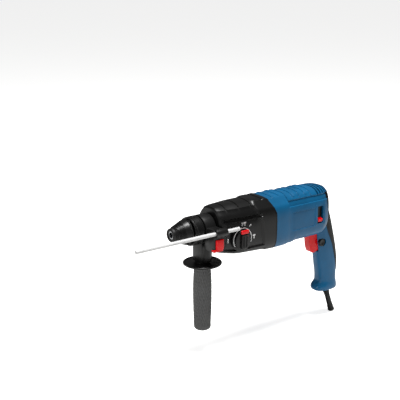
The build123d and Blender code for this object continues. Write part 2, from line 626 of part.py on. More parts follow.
def cable_boot():
    boot = Pos(0, 0, 4.4) * Cone(7.4, 5.1, 14, align=(Align.CENTER, Align.CENTER, Align.MIN))
    boot += Pos(0, 0, 18.4) * Cone(5.1, 5.4, 21.6, align=(Align.CENTER, Align.CENTER, Align.MIN))
    boot += Pos(0, 0, 40) * Cone(5.4, 6.6, 18, align=(Align.CENTER, Align.CENTER, Align.MIN))
    boot += Pos(0, 0, -10) * Cylinder(6.5, 15, align=(Align.CENTER, Align.CENTER, Align.MIN))
    boot -= Pos(0, 0, -11) * Cylinder(CABLE_R, 80, align=(Align.CENTER, Align.CENTER, Align.MIN))
    return boot_place() * boot


def cable_clamp():
    return block(352, 368, -12, 12, -150, -144) - block(356, 364, -4.5, 4.5, -152, -143)


def housing_screws():
    return joined([rod(SCREW_HEAD_R - 0.2, SCREW_X0 + 0.4, SCREW_X0 + 3, y, z)
                   + rod(SCREW_R, SCREW_X0 + 2, SCREW_X1 - 3, y, z) for y, z in SCREWS])


# ---- every piece, by node -----------------------------------------------------------------
HOUSING_FRONT, HANDLE_COVER = handle_shells()

keep("gear_housing", gear_housing())
keep("clamping_neck", clamping_neck())
keep("motor_housing", motor_housing(HOUSING_FRONT))
keep("handle_cover", HANDLE_COVER)
keep("intermediate_flange", flange())
keep("front_bearing", tube(BEARING_R, JOURNAL_R + RUN, NECK_X0 + 4, 76))
keep("shaft_seal", tube(BEARING_R, JOURNAL_R + RUN, 76.4, 77.8))
keep("spindle_bush", tube(BUSH_R, TUBE_R + RUN, WEB_X0, BUSH_X1))
keep("intermediate_bearings", joined([tube(SHAFT_BEARING_R, SHAFT_R + RUN, 88, 93, 0, SHAFT_Z),
                                      tube(SHAFT_BEARING_R, SHAFT_R + RUN, 186.5, 192, 0,
                                           SHAFT_Z)]))
keep("motor_bearings", joined([tube(MOTOR_BEARING_R, MOTOR_SHAFT_R + RUN, 188, 194, 0, MOTOR_Z),
                               tube(MOTOR_BEARING_R, MOTOR_SHAFT_R + RUN, REAR_BEARING_X0 + 0.2,
                                    REAR_BEARING_X1, 0, MOTOR_Z)]))
keep("stator", stator())
keep("field_coils", field_coils())
keep("bearing_bracket", bearing_bracket())
keep("switch_block", switch_block())
keep("cable_clamp", cable_clamp())
keep("cable_boot", cable_boot())
keep("housing_screws", housing_screws())

keep("spindle", spindle())
keep("spindle_gear", gear(DRIVE_TEETH[1], DRIVE_MODULE, DRIVE_X, DRIVE_X + GEAR_WIDTH + 3, 0,
                          180, TUBE_R))
keep("clutch_spring", coil(16.4, 1.5, DRIVE_X + GEAR_WIDTH + 3.5, WEB_X0 - 1, 4))
keep("chuck_body", chuck_body())
keep("dust_cap", dust_cap())
keep("locking_balls", locking_balls())
keep("sleeve_spring", coil(14.3, 0.8, SLEEVE_X0 + SLEEVE_TRAVEL + 6.4, 34, 4))
keep("sds_sleeve", sds_sleeve())
keep("quick_change_ring", quick_change_ring())
keep("impact_bolt", turned((BOLT_X0, 0), (BOLT_X0, 5.5), (BOLT_X0 + 4, BOLT_R), (92, BOLT_R),
                           (94, 5.0), (BOLT_X1, 5.0), (BOLT_X1, 0)))
keep("striker", rod(PISTON_BORE, STRIKER_X0, STRIKER_X0 + STRIKER_LENGTH))
keep("piston", piston())
keep("piston_pin", piston_pin())
keep("wobble_ring", wobble_ring())
keep("wobble_hub", wobble_hub())
keep("wobble_balls", wobble_balls())
keep("intermediate_shaft", rod(SHAFT_R, 87.5, 192.5, 0, SHAFT_Z))
keep("drive_pinion", gear(DRIVE_TEETH[0], DRIVE_MODULE, DRIVE_X - 1, DRIVE_X + GEAR_WIDTH + 4,
                          SHAFT_Z, 180 / DRIVE_TEETH[0], SHAFT_R))
keep("intermediate_gear", gear(MOTOR_TEETH[1], MOTOR_MODULE, MOTOR_GEAR_X,
                               MOTOR_GEAR_X + GEAR_WIDTH, SHAFT_Z, 0, SHAFT_R))
keep("rotor_shaft", rod(MOTOR_SHAFT_R, MOTOR_GEAR_X + GEAR_WIDTH + 1, 300, 0, MOTOR_Z)
     + gear(MOTOR_TEETH[0], MOTOR_MODULE, MOTOR_GEAR_X - 0.5, MOTOR_GEAR_X + GEAR_WIDTH + 1.5,
            MOTOR_Z, 180 + 180 / MOTOR_TEETH[0], 0))
keep("fan", fan())
keep("lamination", lamination())
keep("commutator", tube(COMMUTATOR_R, MOTOR_SHAFT_R, 271, 286, 0, MOTOR_Z))
keep("brush_ring", brush_ring())
keep("brush_holders", brush_holders())
keep("carbon_brushes", carbon_brushes())
keep("direction_lever", direction_lever())

keep("handle_collar", handle_collar())
keep("clamp_strap", clamp_strap())
keep("grip_core", grip_core())
keep("side_grip", side_grip())
keep("clamp_bolt", clamp_bolt())
keep("depth_rod", depth_rod())
keep("depth_button", depth_button())
keep("mode_dial", mode_dial())
keep("dial_button", dial_button())
keep("shift_fork", shift_fork())
keep("shift_sleeve", shift_sleeve())
keep("trigger", trigger())
keep("lock_on_button", lock_on_button())

os.makedirs("parts", exist_ok=True)
for name, shape in PIECES.items():
    export_step(shape, f"parts/{name}.step")
print(len(PIECES), "nodes written")
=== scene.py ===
# %% [markdown]
# # A rotary hammer
# The tool is a set of moulded plastic shells round a steel mechanism. The mechanism, the joints and
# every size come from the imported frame. This script gives the tool its skin: shells with their ribs,
# ledges and recesses, a textured side grip, controls, and a finish for each material.

# %% Load the frame
import json
import math

import bpy
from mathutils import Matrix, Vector


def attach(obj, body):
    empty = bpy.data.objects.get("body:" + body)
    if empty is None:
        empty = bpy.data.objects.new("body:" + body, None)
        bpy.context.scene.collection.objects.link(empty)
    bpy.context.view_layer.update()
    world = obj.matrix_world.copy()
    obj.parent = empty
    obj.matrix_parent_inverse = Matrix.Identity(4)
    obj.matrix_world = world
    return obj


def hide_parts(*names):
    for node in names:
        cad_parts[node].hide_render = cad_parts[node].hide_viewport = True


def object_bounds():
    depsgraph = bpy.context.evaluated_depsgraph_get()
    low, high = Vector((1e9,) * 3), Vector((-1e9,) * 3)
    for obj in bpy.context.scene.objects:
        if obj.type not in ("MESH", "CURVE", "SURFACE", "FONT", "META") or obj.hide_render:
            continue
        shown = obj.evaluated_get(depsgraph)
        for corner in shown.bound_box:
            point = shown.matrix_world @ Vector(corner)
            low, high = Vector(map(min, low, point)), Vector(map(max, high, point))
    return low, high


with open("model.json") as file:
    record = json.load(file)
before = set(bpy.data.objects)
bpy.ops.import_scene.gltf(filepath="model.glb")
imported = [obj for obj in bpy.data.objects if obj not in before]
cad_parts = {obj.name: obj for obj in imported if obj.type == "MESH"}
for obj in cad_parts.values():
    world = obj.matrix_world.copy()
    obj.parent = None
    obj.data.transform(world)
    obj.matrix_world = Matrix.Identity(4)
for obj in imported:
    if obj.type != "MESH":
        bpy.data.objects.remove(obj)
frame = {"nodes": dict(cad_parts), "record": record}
CAD_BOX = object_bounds()
MM = 0.001
print("CAD box in millimetres:", [[round(c / MM) for c in corner] for corner in CAD_BOX])

# %% [markdown]
# ## The camera
# The tool is seen from its dial side, from a little in front and above, through a long lens. The
# camera looks along one direction without rolling, so a position and a direction are enough.

# %% Camera
CAMERA_PLACE = Vector((-846.3, -1238.3, 491.8)) * MM
BACKWARD = Vector((-0.5687, -0.7750, 0.2756))
camera_data = bpy.data.cameras.new("camera")
camera_data.lens = 84.78
camera_data.clip_end = 30
camera = bpy.data.objects.new("camera", camera_data)
camera.location = CAMERA_PLACE
camera.rotation_euler = BACKWARD.to_track_quat("Z", "Y").to_euler()
bpy.context.scene.collection.objects.link(camera)
bpy.context.scene.camera = camera

# %% [markdown]
# ## Floor and light
# A pale floor and three large soft lamps make a studio. The key lamp is high above the tool, so the
# upper faces are bright and the sides fall into a deeper tone, which shows the ledges and ribs.

# %% Colours and nodes
def linear(hex_colour):
    """An sRGB hex colour as the linear values that Blender works in."""
    parts = [int(hex_colour[i:i + 2], 16) / 255 for i in (1, 3, 5)]
    return [c / 12.92 if c <= 0.04045 else ((c + 0.055) / 1.055) ** 2.4 for c in parts] + [1.0]


def node(tree, kind, links=(), **settings):
    """Adds a node, sets its inputs and properties by name, and links other outputs into it."""
    new = tree.nodes.new(kind)
    for name, value in settings.items():
        socket = new.inputs.get(name.replace("_", " "))
        if socket is not None:
            socket.default_value = value
        else:
            setattr(new, name, value)
    for output, name in links:
        tree.links.new(output, new.inputs[name])
    return new


def two_levels(tree, otherwise, seen):
    """One value for what the camera sees directly, and another for the light that it gives."""
    ray = node(tree, "ShaderNodeLightPath").outputs["Is Camera Ray"]
    levels = node(tree, "ShaderNodeMapRange", [(ray, "Value")], To_Min=otherwise, To_Max=seen)
    return levels.outputs["Result"]


# %% Floor, lamps and world
def soft_lamp(name, place, size, power):
    data = bpy.data.lights.new(name, "AREA")
    data.shape, data.size, data.energy = "DISK", size, power
    lamp = bpy.data.objects.new(name, data)
    lamp.location = place
    aim = Vector(place) - Vector((0.19, 0, -0.05))
    lamp.rotation_euler = aim.to_track_quat("Z", "Y").to_euler()
    bpy.context.scene.collection.objects.link(lamp)


soft_lamp("key", (0.2, -0.2, 1.9), 0.8, 62)
soft_lamp("front", (-1.9, -0.25, 0.55), 0.6, 12)
soft_lamp("fill", (-0.7, -1.9, 0.4), 1.2, 1.6)

world = bpy.data.worlds.new("studio")
world.use_nodes = True
world.node_tree.nodes["Background"].inputs["Color"].default_value = (1, 1, 1, 1)
world.node_tree.links.new(two_levels(world.node_tree, 0.13, 1.0),
                          world.node_tree.nodes["Background"].inputs["Strength"])
bpy.context.scene.world = world
bpy.context.scene.view_settings.view_transform = "Standard"

floor_material = bpy.data.materials.new("pale floor")
floor_material.use_nodes = True
floor_shader = floor_material.node_tree.nodes["Principled BSDF"]
floor_shader.inputs["Base Color"].default_value = linear("#F4F4F2")
floor_shader.inputs["Roughness"].default_value = 0.9
floor_shader.inputs["Emission Color"].default_value = (1, 1, 1, 1)
floor_material.node_tree.links.new(two_levels(floor_material.node_tree, 0.0, 0.75),
                                   floor_shader.inputs["Emission Strength"])
bpy.ops.mesh.primitive_plane_add(size=80, location=(0, 0, CAD_BOX[0][2]))
floor = bpy.context.object
floor.name = "floor"
floor.data.materials.append(floor_material)

# %% [markdown]
# ## Finishes
# Power tools are moulded in glass-filled polyamide. The mould is spark-eroded, which leaves a fine,
# even grain of a few tenths of a millimetre, and a satin gloss. Soft grips are a matt elastomer.
# Each finish is one function with the real differences as its arguments: colour, gloss, size of the
# grain and how deep it is.

# %% Moulded plastics
def finish(name, colour, roughness, metallic=0.0, grain=0.5, depth=0.02, tone=0.12, stretch=None,
           shine=0.3):
    """A surface with a grain of that size in millimetres, and slow changes of tone and gloss."""
    material = bpy.data.materials.new(name)
    material.use_nodes = True
    tree = material.node_tree
    shader = tree.nodes["Principled BSDF"]
    place = node(tree, "ShaderNodeTexCoord").outputs["Object"]
    if stretch:
        mapping = node(tree, "ShaderNodeMapping", [(place, "Vector")])
        mapping.inputs["Scale"].default_value = stretch
        place = mapping.outputs["Vector"]
    fine = node(tree, "ShaderNodeTexNoise", [(place, "Vector")], Scale=1 / (grain * MM), Detail=2.0)
    slow = node(tree, "ShaderNodeTexNoise", [(place, "Vector")], Scale=1 / (35 * MM), Detail=3.0)
    base = linear(colour)
    tones = node(tree, "ShaderNodeValToRGB", [(slow.outputs["Fac"], "Fac")])
    darker, lighter = tones.color_ramp.elements
    darker.position, lighter.position = 0.3, 0.7
    darker.color = [c * (1 - tone) for c in base[:3]] + [1]
    lighter.color = [min(1.0, c * (1 + tone)) for c in base[:3]] + [1]
    tree.links.new(tones.outputs["Color"], shader.inputs["Base Color"])
    gloss = node(tree, "ShaderNodeMapRange", [(fine.outputs["Fac"], "Value")],
                 To_Min=max(0.03, roughness - 0.05), To_Max=min(1.0, roughness + 0.05))
    tree.links.new(gloss.outputs["Result"], shader.inputs["Roughness"])
    bump = node(tree, "ShaderNodeBump", [(fine.outputs["Fac"], "Height")], Strength=0.35,
                Distance=depth * MM)
    tree.links.new(bump.outputs["Normal"], shader.inputs["Normal"])
    shader.inputs["Metallic"].default_value = metallic
    shader.inputs["Specular IOR Level"].default_value = 0.5 if metallic else shine
    return material


FINISHES = {
    "blue_housing": finish("blue polyamide, spark-eroded mould", "#0A547C", 0.34, grain=0.6),
    "black_housing": finish("black polyamide, spark-eroded mould", "#0D0D0D", 0.34, grain=0.6),
    "soft_grip": finish("black elastomer, moulded", "#101010", 0.5, grain=0.8, depth=0.04),
    "grey_grip": finish("dark grey elastomer, moulded", "#4C4C4C", 0.55, grain=0.9, depth=0.04),
    "dark_grey": finish("dark grey polyamide, moulded", "#141414", 0.34, grain=0.6),
    "red_control": finish("red ABS, polished mould", "#D8000A", 0.3, grain=0.5, tone=0.05),
    "light_rod": finish("light grey ABS, polished mould", "#D2D2D2", 0.35, tone=0.03),
    "steel": finish("ground steel", "#B5B7BA", 0.3, metallic=1.0, stretch=(1, 12, 12)),
    "dark_steel": finish("blackened steel", "#3A3B3D", 0.38, metallic=1.0),
    "aluminium": finish("die-cast aluminium", "#B9BABB", 0.45, metallic=1.0, grain=1.2),
    "copper": finish("enamelled copper wire", "#B86A3A", 0.35, metallic=1.0, stretch=(1, 8, 8)),
    "carbon": finish("pressed graphite", "#202022", 0.6, grain=0.3),
    "rubber": finish("black rubber, moulded", "#0E0E0E", 0.5, grain=0.9, depth=0.03),
}
WHITE_PRINT = finish("white pad-printed ink", "#E9E9E9", 0.5, grain=0.3, tone=0.03)

# %% Every CAD node takes its slot's finish
SLOT_OF = {entry["node"]: entry["material_slot"] for entry in frame["record"]["subparts"]}
for name, obj in frame["nodes"].items():
    obj.data.materials.clear()
    obj.data.materials.append(FINISHES[SLOT_OF[name]])

# %% [markdown]
# ## Tools for modelling
# A hand modeller adds a primitive, goes into edit mode, selects what is to change and works on it.
# These few helpers do the same. At the end, a piece is told which body it rides on and which finish
# it has, and the CAD nodes that it stands for are hidden.

# %% Selecting and finishing
def only(piece):
    bpy.ops.object.select_all(action="DESELECT")
    piece.select_set(True)
    bpy.context.view_layer.objects.active = piece


def in_edit(piece, *steps):
    """Runs each step in edit mode, with everything selected before it."""
    only(piece)
    bpy.ops.object.mode_set(mode="EDIT")
    for step in steps:
        bpy.ops.mesh.select_all(action="SELECT")
        step()
    bpy.ops.object.mode_set(mode="OBJECT")


def rounded(piece, width, segments=3, angle=30):
    """Bevels the sharp edges by a width in millimetres."""
    only(piece)
    bevel = piece.modifiers.new("bevel", "BEVEL")
    bevel.width, bevel.segments, bevel.limit_method = width * MM, segments, "ANGLE"
    bevel.angle_limit = math.radians(angle)
    bpy.ops.object.modifier_apply(modifier=bevel.name)


def combined(piece, other, operation):
    """Adds another mesh to a piece, or cuts it out, and removes the other mesh."""
    only(piece)
    boolean = piece.modifiers.new("boolean", "BOOLEAN")
    boolean.operation, boolean.object, boolean.solver = operation, other, "EXACT"
    bpy.ops.object.modifier_apply(modifier=boolean.name)
    bpy.data.objects.remove(other)


def done(piece, name, body, slot, *stands_for, smooth=35, material=None):
    """Settles a piece's place in its mesh, then its finish, its body and the nodes it replaces."""
    only(piece)
    bpy.ops.object.transform_apply(location=True, rotation=True, scale=True)
    piece.name = piece.data.name = name
    bpy.ops.object.shade_smooth_by_angle(angle=math.radians(smooth))
    piece.data.materials.clear()
    piece.data.materials.append(material or FINISHES[slot])
    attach(piece, body)
    if stands_for:
        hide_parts(*stands_for)
    print(name, len(piece.data.polygons), "faces")
    return piece


def cube(low, high):
    """A box between two corners in millimetres."""
    middle = [(a + b) / 2 * MM for a, b in zip(low, high)]
    bpy.ops.mesh.primitive_cube_add(size=1, location=middle)
    piece = bpy.context.object
    piece.scale = [(b - a) * MM for a, b in zip(low, high)]
    bpy.ops.object.transform_apply(location=True, rotation=True, scale=True)
    return piece


def drum(radius, start, end, around=64):
    """A cylinder between two points in millimetres."""
    a, b = Vector(start) * MM, Vector(end) * MM
    bpy.ops.mesh.primitive_cylinder_add(vertices=around, radius=radius * MM, depth=(b - a).length,
                                        location=(a + b) / 2)
    piece = bpy.context.object
    piece.rotation_euler = (b - a).to_track_quat("Z", "Y").to_euler()
    bpy.ops.object.transform_apply(location=True, rotation=True, scale=True)
    return piece


def spun(profile, around=96, axis="X", centre=(0, 0, 0)):
    """A turned piece: an outline of (along, radius) corners in millimetres, spun round an axis."""
    bpy.ops.mesh.primitive_circle_add(vertices=len(profile), radius=MM)
    piece = bpy.context.object
    for vertex, (along, radius) in zip(piece.data.vertices, profile):
        offset = (along, 0, radius) if axis == "X" else (radius, 0, along)
        vertex.co = [(c + o) * MM for c, o in zip(centre, offset)]
    direction = (1, 0, 0) if axis == "X" else (0, 0, 1)
    in_edit(piece,
            lambda: bpy.ops.mesh.spin(steps=around, angle=2 * math.pi, axis=direction,
                                      center=[c * MM for c in centre]),
            lambda: bpy.ops.mesh.remove_doubles(threshold=0.002 * MM),
            lambda: bpy.ops.mesh.normals_make_consistent(inside=False))
    return piece


def wrapped(shape, along, around):
    """A grid wrapped into a tube: shape(i, j) is the point at station i and place j round it."""
    bpy.ops.mesh.primitive_grid_add(x_subdivisions=along, y_subdivisions=around, size=1)
    piece = bpy.context.object
    for vertex in piece.data.vertices:
        i = round((vertex.co.x + 0.5) * along)
        j = round((vertex.co.y + 0.5) * around) % around
        vertex.co = [c * MM for c in shape(i, j)]
    in_edit(piece,
            lambda: bpy.ops.mesh.remove_doubles(threshold=0.002 * MM),
            lambda: bpy.ops.mesh.fill_holes(sides=0),
            lambda: bpy.ops.mesh.normals_make_consistent(inside=False))
    return piece


def softened(node_name, width, segments=2):
    """A copy of a CAD node with its small edges rounded, as a moulding has."""
    source = frame["nodes"][node_name]
    piece = bpy.data.objects.new(node_name + "_moulded", source.data.copy())
    bpy.context.scene.collection.objects.link(piece)
    piece.parent = None
    in_edit(piece,
            lambda: bpy.ops.mesh.remove_doubles(threshold=0.005 * MM),
            lambda: bpy.ops.mesh.dissolve_limited(angle_limit=math.radians(0.5)))
    rounded(piece, width, segments)
    return piece


# %% [markdown]
# ## The shape of the shells
# Looked at along the spindle, the housings are rounded rectangles whose width, height and corner
# change slowly from the chuck to the handle. A superellipse draws such a section from a few
# numbers. The mesh's rings and lines are placed where ribs, ledges and recesses begin and end, so
# each of those is a clean pair of edges and not a staircase.

# %% Sections
def superellipse(theta, half_width, up, down, above, below):
    rise, power = (up, above) if math.sin(theta) >= 0 else (down, below)
    c, s = math.cos(theta), math.sin(theta)
    return (half_width * math.copysign(abs(c) ** (2 / power), c),
            rise * math.copysign(abs(s) ** (2 / power), s))


def eased(stations, x):
    """The section at x, from the stations on both sides, without a crease at a station."""
    if x <= stations[0][0]:
        return stations[0][1:]
    if x >= stations[-1][0]:
        return stations[-1][1:]
    k = max(i for i, s in enumerate(stations) if s[0] <= x)
    k = min(k, len(stations) - 2)
    p0, p1 = stations[max(k - 1, 0)], stations[k]
    p2, p3 = stations[k + 1], stations[min(k + 2, len(stations) - 1)]
    span = p2[0] - p1[0]
    t = (x - p1[0]) / span
    values = []
    for a, b, c, d in zip(p0[1:], p1[1:], p2[1:], p3[1:]):
        m1 = (c - a) / (p2[0] - p0[0]) * span
        m2 = (d - b) / (p3[0] - p1[0]) * span
        if (b - a) * (c - b) <= 0:
            m1 = 0
        if (c - b) * (d - c) <= 0:
            m2 = 0
        values.append(b * (2 * t**3 - 3 * t**2 + 1) + m1 * (t**3 - 2 * t**2 + t)
                      + c * (3 * t**2 - 2 * t**3) + m2 * (t**3 - t**2))
    return values


def level_angle(section, z):
    """The angle at which a section passes the height z."""
    _, top, bottom, level, above, below = section
    rise, power = (top - level, above) if z >= level else (level - bottom, below)
    share = min(1.0, abs(z - level) / rise)
    return math.copysign(math.asin(share ** (power / 2)), z - level)


def ramp(value, low, high, soft_low, soft_high):
    """1 between low and high, falling to 0 over a soft width outside each of them."""
    if value < low:
        return max(0.0, 1 - (low - value) / soft_low)
    if value > high:
        return max(0.0, 1 - (value - high) / soft_high)
    return 1.0


def lines(ends, spacing, marks):
    """Positions from end to end: every mark, and even steps between the marks."""
    fixed = sorted({round(m, 3) for m in marks if min(ends) < m < max(ends)} | set(ends))
    result = []
    for a, b in zip(fixed, fixed[1:]):
        steps = max(1, round((b - a) / spacing))
        result += [a + (b - a) * k / steps for k in range(steps)]
    return result + [fixed[-1]]


def shell(stations, features, facets=(), slides=(), spacing=2.5, start=(), end=()):
    """A housing skin. A feature is (x0, x1, z0, z1, depth, soft x, soft z, side): a patch of the
    side raised by depth, on the side of -Y, of +Y, or of both. A facet is (x0, x1, y, z, angle): a flat
    that passes through (y, z) and faces outwards and up by the angle. A slide is (x, reach,
    shift): points near x move along the housing by shift(z). start and end are extra rings, each
    a function of the end section's point, that close the ends."""
    x_marks, z_marks = [], []
    for x0, x1, z0, z1, _, sx, sz, _ in features:
        x_marks += [x0 - sx, x0, x1, x1 + sx]
        z_marks += [z0 - sz, z0, z1, z1 + sz]
    for x0, x1, y0, z0, angle in facets:
        x_marks += [x0 - 0.3, x0, x1, x1 + 0.3]
        z_marks += [z0]
    first, last = stations[0][0], stations[-1][0]
    xs = lines((first, last), spacing, x_marks)
    top = max(s[2] for s in stations)
    bottom = min(s[3] for s in stations)
    heights = lines((bottom + 3, top - 3), 3.0, [z for z in z_marks if bottom + 4 < z < top - 4])
    cap = 16

    def ring_angles(section):
        angles = []
        for z in heights:
            reach = (z - heights[0]) / (heights[-1] - heights[0])
            z = min(max(z, section[2] + 1.5 + reach), section[1] - 2.5 + reach)
            angles.append(level_angle(section, z))
        low, high = angles[0], angles[-1]
        over = [high + (math.pi - 2 * high) * k / cap for k in range(1, cap)]
        under = [-math.pi - low + (math.pi + 2 * low) * k / cap for k in range(1, cap)]
        left = [math.pi - a for a in reversed(angles)]
        return angles + over + left + under

    rings = []
    for x in xs:
        section = eased(stations, x)
        half_width, top_z, bottom_z, level, above, below = section
        ring = []
        for theta in ring_angles(section):
            size = (half_width, top_z - level, level - bottom_z, above, below)
            y, z = superellipse(theta, *size)
            y2, z2 = superellipse(theta + 0.01, *size)
            y1, z1 = superellipse(theta - 0.01, *size)
            normal = Vector((0, z2 - z1, y1 - y2))
            normal = normal.normalized() if normal.length else Vector((0, 0, 1))
            z += level
            lift = 0.0
            for x0, x1, z0, z1_, depth, sx, sz, side in features:
                if side and side * y < 0:
                    continue
                lift += depth * ramp(x, x0, x1, sx, sx) * ramp(z, z0, z1_, sz, sz)
            y, z = y + normal.y * lift, z + normal.z * lift
            for x0, x1, y0, z0, angle in facets:
                if x0 <= x <= x1:
                    out, up = math.cos(math.radians(angle)), math.sin(math.radians(angle))
                    excess = max(0.0, (abs(y) - y0) * out + (z - z0) * up)
                    y, z = y - math.copysign(excess * out, y), z - excess * up
            moved = x
            for middle, reach, shift in slides:
                moved += shift(z) * max(0.0, 1 - abs(x - middle) / reach)
            ring.append((moved, y, z))
        rings.append(ring)
    front = [[closing(*p) for p in rings[0]] for closing in start]
    back = [[closing(*p) for p in rings[-1]] for closing in end]
    rings = front + rings + back
    return wrapped(lambda i, j: rings[i][j], len(rings) - 1, len(rings[0]))


# %% [markdown]
# ## The gear housing
# The black front shell holds the hammer and the gears. Its crown carries shallow cross grooves, a
# ledge runs along each side, and the panel under the ledge is set back, so that the dial and the
# depth rod stay within the width of the tool.

# %% Gear housing
GEAR_STATIONS = [
    (81.5, 29.0, 33.2, -41.5, 4.0, 2.3, 2.8),
    (84.0, 30.8, 35.0, -43.4, 3.0, 2.3, 2.9),
    (92.0, 33.5, 36.4, -46.5, 0.0, 2.35, 3.1),
    (108.0, 36.6, 37.3, -49.8, -6.0, 2.4, 3.7),
    (125.0, 38.6, 37.9, -52.0, -10.0, 2.5, 4.2),
    (158.0, 39.2, 38.2, -54.0, -11.0, 2.5, 4.2),
    (166.0, 39.4, 38.3, -54.6, -11.0, 3.4, 4.2),
    (199.0, 39.9, 38.5, -58.0, -12.0, 3.4, 4.0),
]
GEAR_PADS = [(84.0, 98.5), (102.0, 124.0), (128.0, 150.0), (154.0, 178.0), (182.5, 195.0)]
gear_features = [(a, b, 31.0, 45, 1.3, 0.9, 2.0, 0) for a, b in GEAR_PADS]
gear_features += [
    (92, 168, 12.8, 16.5, -3.4, 3.4, 1.2, 0),        # undercut below the crown
    (96, 168, -41, 9.8, -3.4, 3.4, 1.2, 0),          # recessed panel
    (196.6, 198.2, -70, 50, -0.8, 0.4, 1.0, 0),      # seam before the motor housing
]
SHOULDER = (39.3, 19.8, 46)                          # the flat over the rear block: y, z and angle
gear_facets = [(160.0, 199.5) + SHOULDER]


def seam(z):
    """How far the joint between the two shells lies behind its middle, at a height."""
    return 3.5 if z < 12 else 3.5 - (z - 12) * 0.38


SEAM = (199.0, 14.0, seam)
FIN = (170.0, 13.0, lambda z: (4 - z) * 0.13)
gear_shell = shell(GEAR_STATIONS, gear_features, gear_facets, (SEAM, FIN),
                   start=(lambda x, y, z: (93, y * 0.45, z * 0.42),
                          lambda x, y, z: (x, y * 0.55, z * 0.5)))
done(gear_shell, "gear_shell", "housing", "black_housing", "gear_housing", smooth=28)

# %% [markdown]
# ## The motor housing and the handle
# The blue shell is one moulding: a barrel round the motor, with raised pads and vents on its crown,
# and the handle below it. The barrel and the handle are drawn as two skins and united, and then the
# openings for the trigger, the lock button and the reversing lever are cut.

# %% Barrel
MOTOR_STATIONS = [
    (199.0, 39.9, 38.5, -58.0, -12.0, 3.4, 4.0),
    (232.6, 39.5, 38.5, -57.5, -12.0, 3.4, 4.0),
    (234.2, 36.4, 38.4, -57.2, -12.0, 3.2, 3.8),
    (251.0, 36.3, 38.3, -57.0, -12.0, 3.1, 3.8),
    (256.0, 36.2, 38.3, -54.9, -12.0, 3.2, 3.8),
    (318.0, 35.3, 38.2, -54.5, -12.0, 3.2, 3.6),
    (328.0, 33.2, 37.8, -53.0, -11.0, 3.0, 3.3),
    (337.0, 28.5, 35.6, -49.5, -9.5, 2.7, 3.0),
    (343.5, 21.5, 32.3, -44.5, -7.5, 2.5, 2.6),
    (346.5, 15.5, 29.0, -39.0, -5.0, 2.3, 2.3),
]
STEPS = [220.4, 248.7, 277.5]
RIDGES = [207.7, 234.6, 264.1, 290.9]
VENTS = [306.5 + 6.6 * k for k in range(5)]
motor_features = [(x, x + 4.0, 32.0, 45, 1.2, 0.4, 1.6, 0) for x in STEPS]
motor_features += [(x + 4.5, x + 14.0, 33.5, 45, 0.6, 4.0, 2.0, 0) for x in STEPS]
motor_features += [(x - 0.5, x + 0.5, 29.5, 38.5, 1.2, 0.5, 1.0, 0) for x in RIDGES]
motor_features += [(x, x + 3.0, 28.6, 45, -3.8, 0.3, 0.8, 0) for x in VENTS]
motor_features += [
    (235.5, 334, 17.0, 26.6, -2.2, 0.8, 1.2, 0),     # band under the crown
    (243.5, 297, -28.5, 4.5, -0.9, 0.6, 0.6, 0),     # plain name panel
    (299, 300.6, -29.5, 9.0, 0.9, 0.6, 0.8, -1),     # frame of the reversing lever
    (321.5, 323.1, -29.5, 8.0, 0.9, 0.6, 0.8, -1),
]
motor_facets = [(198.5, 232.8) + SHOULDER]
motor_shell = shell(MOTOR_STATIONS, motor_features, motor_facets, (SEAM,),
                    start=(lambda x, y, z: (x, y * 0.9, z * 0.9),),
                    end=(lambda x, y, z: (x + 1.2, y * 0.75, (z + 3) * 0.8 - 3),
                         lambda x, y, z: (x + 1.8, y * 0.4, (z + 3) * 0.4 - 3)))

# %% Handle
HANDLE_STATIONS = [
    (15.0, 322.0, 343.0, 15.0), (-17.0, 321.0, 357.5, 17.0), (-50.0, 325.6, 368.0, 17.4),
    (-90.0, 331.9, 378.5, 17.4), (-120.0, 336.9, 383.0, 17.4), (-150.0, 341.3, 382.5, 17.0),
    (-158.0, 340.6, 383.2, 17.2), (-164.5, 334.5, 384.8, 18.4), (-170.0, 332.0, 385.8, 18.6),
    (-173.5, 333.5, 385.6, 17.8),
]
HANDLE_POWER = 2.6


def handle_point(z, theta, inset=0.0):
    order = [(-s[0],) + s[1:] for s in HANDLE_STATIONS]
    front, rear, half_width = eased(order, -z)
    half = (rear - front) / 2 - inset
    x, y = superellipse(theta, half, half_width - inset, half_width - inset, HANDLE_POWER, HANDLE_POWER)
    return (front + rear) / 2 + x, y, z


HANDLE_Z = lines((-173.5, 15.0), 3.0, [-150, -158, -164.5, -170])[::-1]
handle_rings = [[handle_point(z, 2 * math.pi * j / 96) for j in range(96)] for z in HANDLE_Z]
handle_rings.append([handle_point(-173.5, 2 * math.pi * j / 96, 1.6)[:2] + (-175.0,)
                     for j in range(96)])
handle = wrapped(lambda i, j: handle_rings[i][j], len(handle_rings) - 1, 96)
combined(motor_shell, handle, "UNION")

# %% Openings in the blue shell
trigger_slot = cube((315, -8.9, -94.5), (343, 8.9, -50))
rounded(trigger_slot, 1.5)
combined(motor_shell, trigger_slot, "DIFFERENCE")
LOCK_X, LOCK_Z = 337.6, -75
combined(motor_shell, drum(8.0, (LOCK_X, -30, LOCK_Z), (LOCK_X, -10, LOCK_Z)), "DIFFERENCE")
lever_slot = cube((303.8, -42, -26.6), (318.2, -29.5, 5.8))
rounded(lever_slot, 0.8)
combined(motor_shell, lever_slot, "DIFFERENCE")
BOOT_TILT = math.radians(20.3)
BOOT_AXIS = Vector((math.sin(BOOT_TILT), 0, -math.cos(BOOT_TILT)))
BOOT_TOP = Vector((362.5, 0, -172.0))
combined(motor_shell, drum(7.0, BOOT_TOP - BOOT_AXIS * 12, BOOT_TOP + BOOT_AXIS * 8), "DIFFERENCE")

# %% [markdown]
# ## The soft rear cover
# A black elastomer is moulded over the back of the handle, where the palm presses, and runs up to
# the lip at the rear of the barrel. It follows the shell half a millimetre proud, so it is the
# shell itself, swollen a little and kept only behind the seam.

